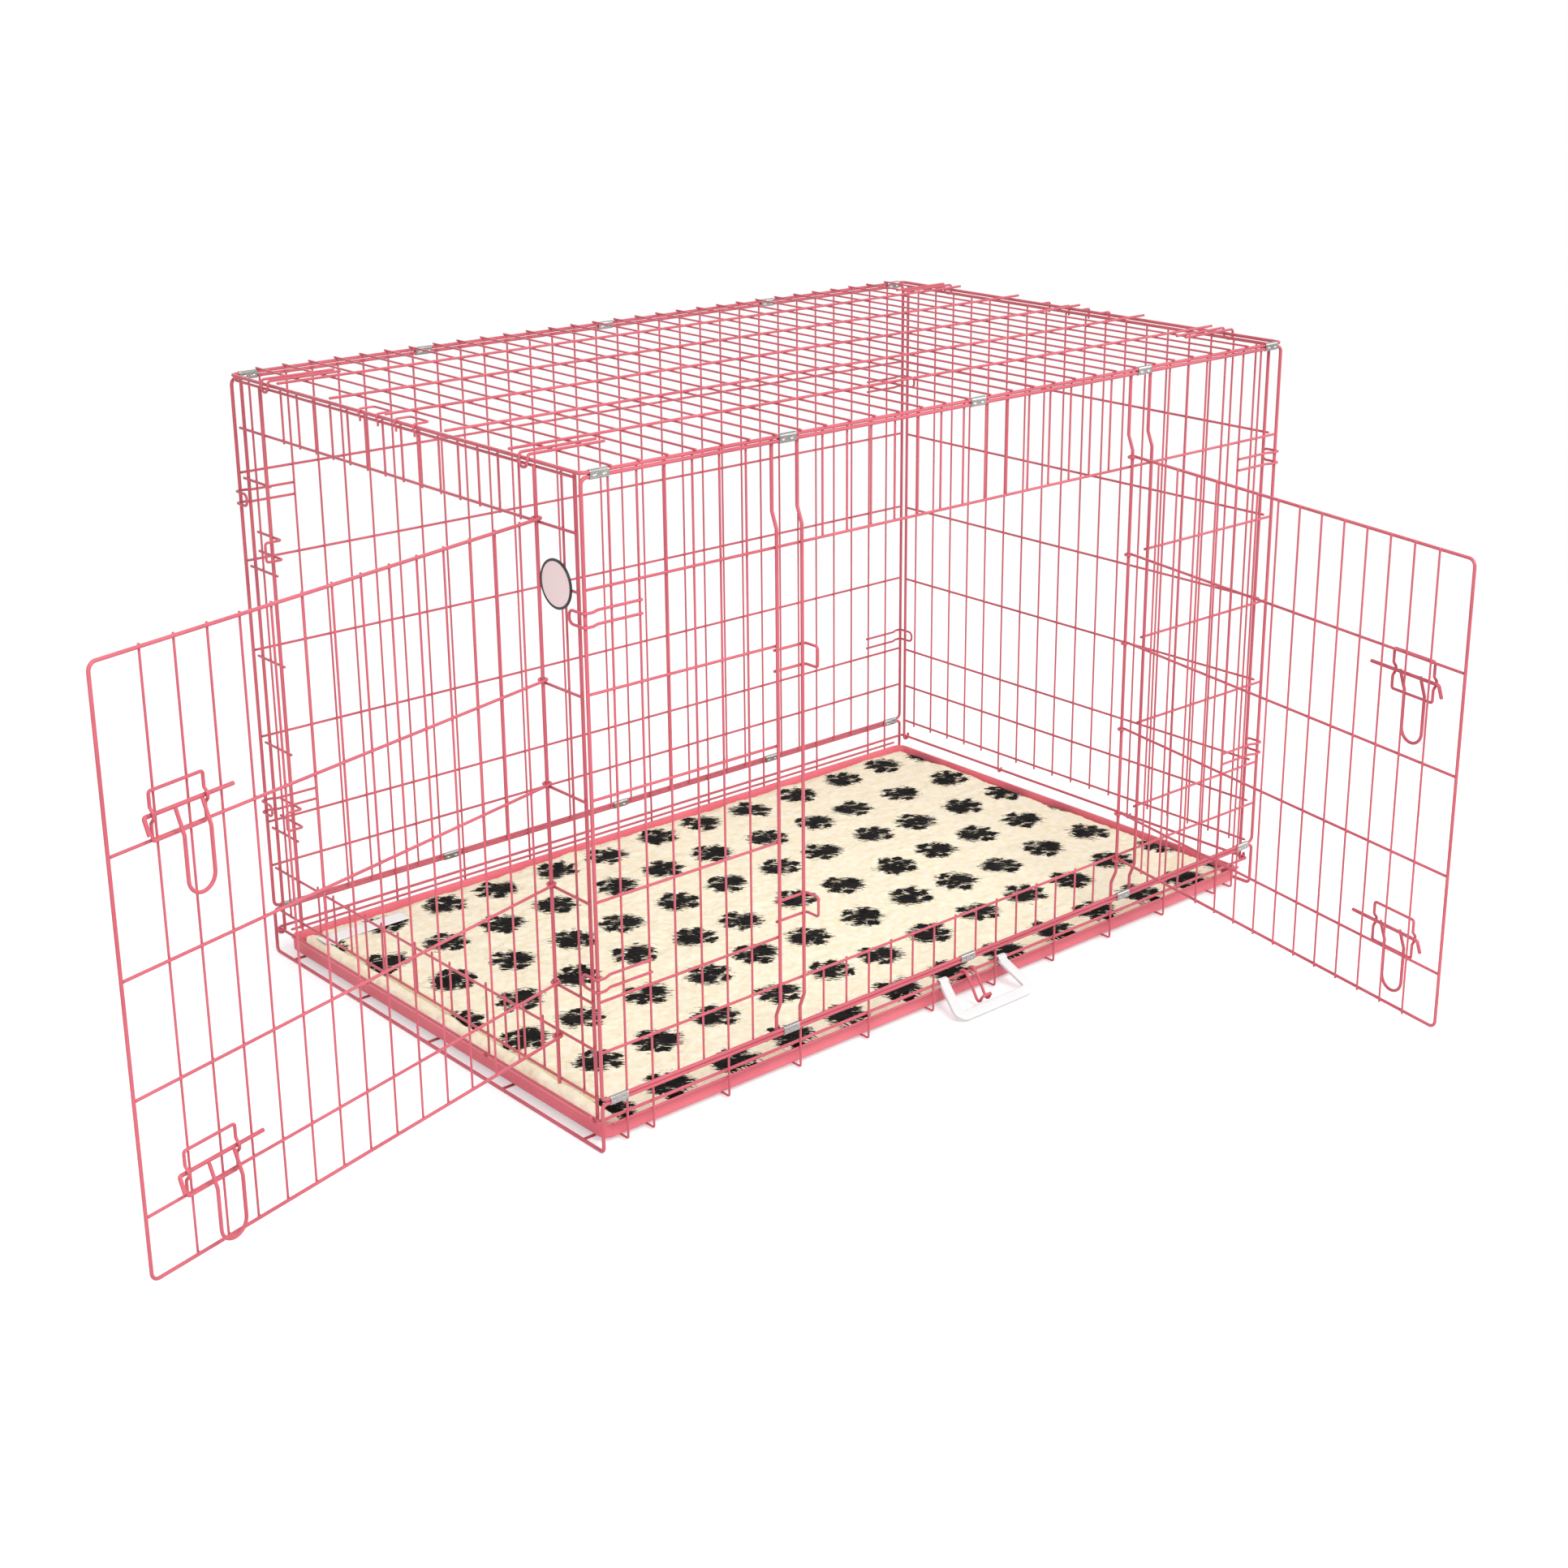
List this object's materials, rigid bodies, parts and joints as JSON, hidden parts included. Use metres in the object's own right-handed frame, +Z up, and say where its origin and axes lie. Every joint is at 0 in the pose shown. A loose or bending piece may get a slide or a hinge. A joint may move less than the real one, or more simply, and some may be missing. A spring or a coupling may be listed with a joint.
{
  "type": "wire dog crate",
  "caption": "Erected folding wire dog crate with open end and side doors on slide bolts, a pull-out sheet tray, a fleece mat and a plastic carry handle.",
  "frame": {"origin": "on the floor at the middle of the crate's footprint", "axes": "+X along the length away from the end door, -Y towards the side door, +Z up"},
  "size_m": [1.8209, 1.3789, 0.8289],
  "materials": {
    "pink_wire": "satin powder coat",
    "pink_tray": "satin powder coat",
    "zinc": "zinc plated",
    "fleece": "deep pile fleece",
    "label_cloth": "woven tape",
    "white_plastic": "moulded satin",
    "plaque_dark": "gloss",
    "plaque_pale": "gloss"
  },
  "bodies": {
    "crate": {"base_frame_wire": "pink_wire", "base_rim_wire": "pink_wire", "base_side_wires": "pink_wire", "base_floor_hoops": "pink_wire", "base_floor_wires": "pink_wire", "front_panel_frame": "pink_wire", "front_panel_uprights": "pink_wire", "front_panel_rails": "pink_wire", "front_door_jambs": "pink_wire", "front_keepers": "pink_wire", "front_corner_hooks": "pink_wire", "back_panel_frame": "pink_wire", "back_panel_uprights": "pink_wire", "back_panel_rails": "pink_wire", "back_corner_hooks": "pink_wire", "top_panel_frame": "pink_wire", "top_cross_wires": "pink_wire", "top_long_wires": "pink_wire", "top_spring_hooks": "pink_wire", "left_end_edges": "pink_wire", "left_end_uprights": "pink_wire", "left_end_rails": "pink_wire", "left_end_top_tabs": "pink_wire", "left_end_jambs": "pink_wire", "left_end_keepers": "pink_wire", "right_end_edges": "pink_wire", "right_end_uprights": "pink_wire", "right_end_rails": "pink_wire", "right_end_top_tabs": "pink_wire", "front_top_sleeves": "zinc", "front_bottom_sleeves": "zinc", "back_top_sleeves": "zinc", "back_bottom_sleeves": "zinc", "badge_plate": "plaque_dark", "badge_face": "plaque_pale"},
    "end_door": {"end_door_frame": "pink_wire", "end_door_rails": "pink_wire", "end_door_uprights": "pink_wire", "end_upper_bracket": "pink_wire", "end_lower_bracket": "pink_wire"},
    "end_upper_bolt": {"end_upper_bolt": "pink_wire"},
    "end_upper_handle": {"end_upper_handle": "pink_wire"},
    "end_lower_bolt": {"end_lower_bolt": "pink_wire"},
    "end_lower_handle": {"end_lower_handle": "pink_wire"},
    "side_door": {"side_door_frame": "pink_wire", "side_door_rails": "pink_wire", "side_door_uprights": "pink_wire", "side_upper_bracket": "pink_wire", "side_lower_bracket": "pink_wire"},
    "side_upper_bolt": {"side_upper_bolt": "pink_wire"},
    "side_upper_handle": {"side_upper_handle": "pink_wire"},
    "side_lower_bolt": {"side_lower_bolt": "pink_wire"},
    "side_lower_handle": {"side_lower_handle": "pink_wire"},
    "tray": {"tray": "pink_tray", "mat": "fleece", "mat_label": "label_cloth"},
    "carry_handle": {"carry_handle": "white_plastic"},
    "fold_clip": {"fold_clip": "pink_wire"}
  },
  "joints": [
    {"name": "end_door_swing", "type": "hinge", "parent": "crate", "child": "end_door", "pos_m": [-0.60743, -0.30262, 0.44], "axis": [0, 0, 1], "range_deg": [-105, 45]},
    {"name": "end_upper_bolt_slide", "type": "slide", "parent": "end_door", "child": "end_upper_bolt", "axis": [-0.9659, -0.2588, 0], "range_m": [-0.0025, 0.021]},
    {"name": "end_upper_handle_turn", "type": "hinge", "parent": "end_upper_bolt", "child": "end_upper_handle", "pos_m": [-1.13277, -0.4516, 0.596], "axis": [-0.9659, -0.2588, 0], "range_deg": [0, 120]},
    {"name": "end_lower_bolt_slide", "type": "slide", "parent": "end_door", "child": "end_lower_bolt", "axis": [-0.9659, -0.2588, 0], "range_m": [-0.0025, 0.021]},
    {"name": "end_lower_handle_turn", "type": "hinge", "parent": "end_lower_bolt", "child": "end_lower_handle", "pos_m": [-1.13277, -0.4516, 0.222], "axis": [-0.9659, -0.2588, 0], "range_deg": [0, 120]},
    {"name": "side_door_swing", "type": "hinge", "parent": "crate", "child": "side_door", "pos_m": [0.29226, -0.38648, 0.44], "axis": [0, 0, 1], "range_deg": [-79, 71]},
    {"name": "side_upper_bolt_slide", "type": "slide", "parent": "side_door", "child": "side_upper_bolt", "axis": [-0.1908, -0.9816, 0], "range_m": [-0.0025, 0.021]},
    {"name": "side_upper_handle_turn", "type": "hinge", "parent": "side_upper_bolt", "child": "side_upper_handle", "pos_m": [0.19777, -0.91414, 0.544], "axis": [-0.1908, -0.9816, 0], "range_deg": [0, 120]},
    {"name": "side_lower_bolt_slide", "type": "slide", "parent": "side_door", "child": "side_lower_bolt", "axis": [-0.1908, -0.9816, 0], "range_m": [-0.0025, 0.021]},
    {"name": "side_lower_handle_turn", "type": "hinge", "parent": "side_lower_bolt", "child": "side_lower_handle", "pos_m": [0.19777, -0.91414, 0.222], "axis": [-0.1908, -0.9816, 0], "range_deg": [0, 120]},
    {"name": "tray_pull", "type": "slide", "parent": "crate", "child": "tray", "axis": [-1, 0, 0], "range_m": [0, 1]},
    {"name": "carry_handle_swing", "type": "hinge", "parent": "crate", "child": "carry_handle", "pos_m": [0.0175, -0.37564, 0.04], "axis": [-1, 0, 0], "range_deg": [0, 80]},
    {"name": "fold_clip_swing", "type": "hinge", "parent": "crate", "child": "fold_clip", "pos_m": [0.0175, -0.37564, 0.04], "axis": [-1, 0, 0], "range_deg": [0, 60]}
  ]
}
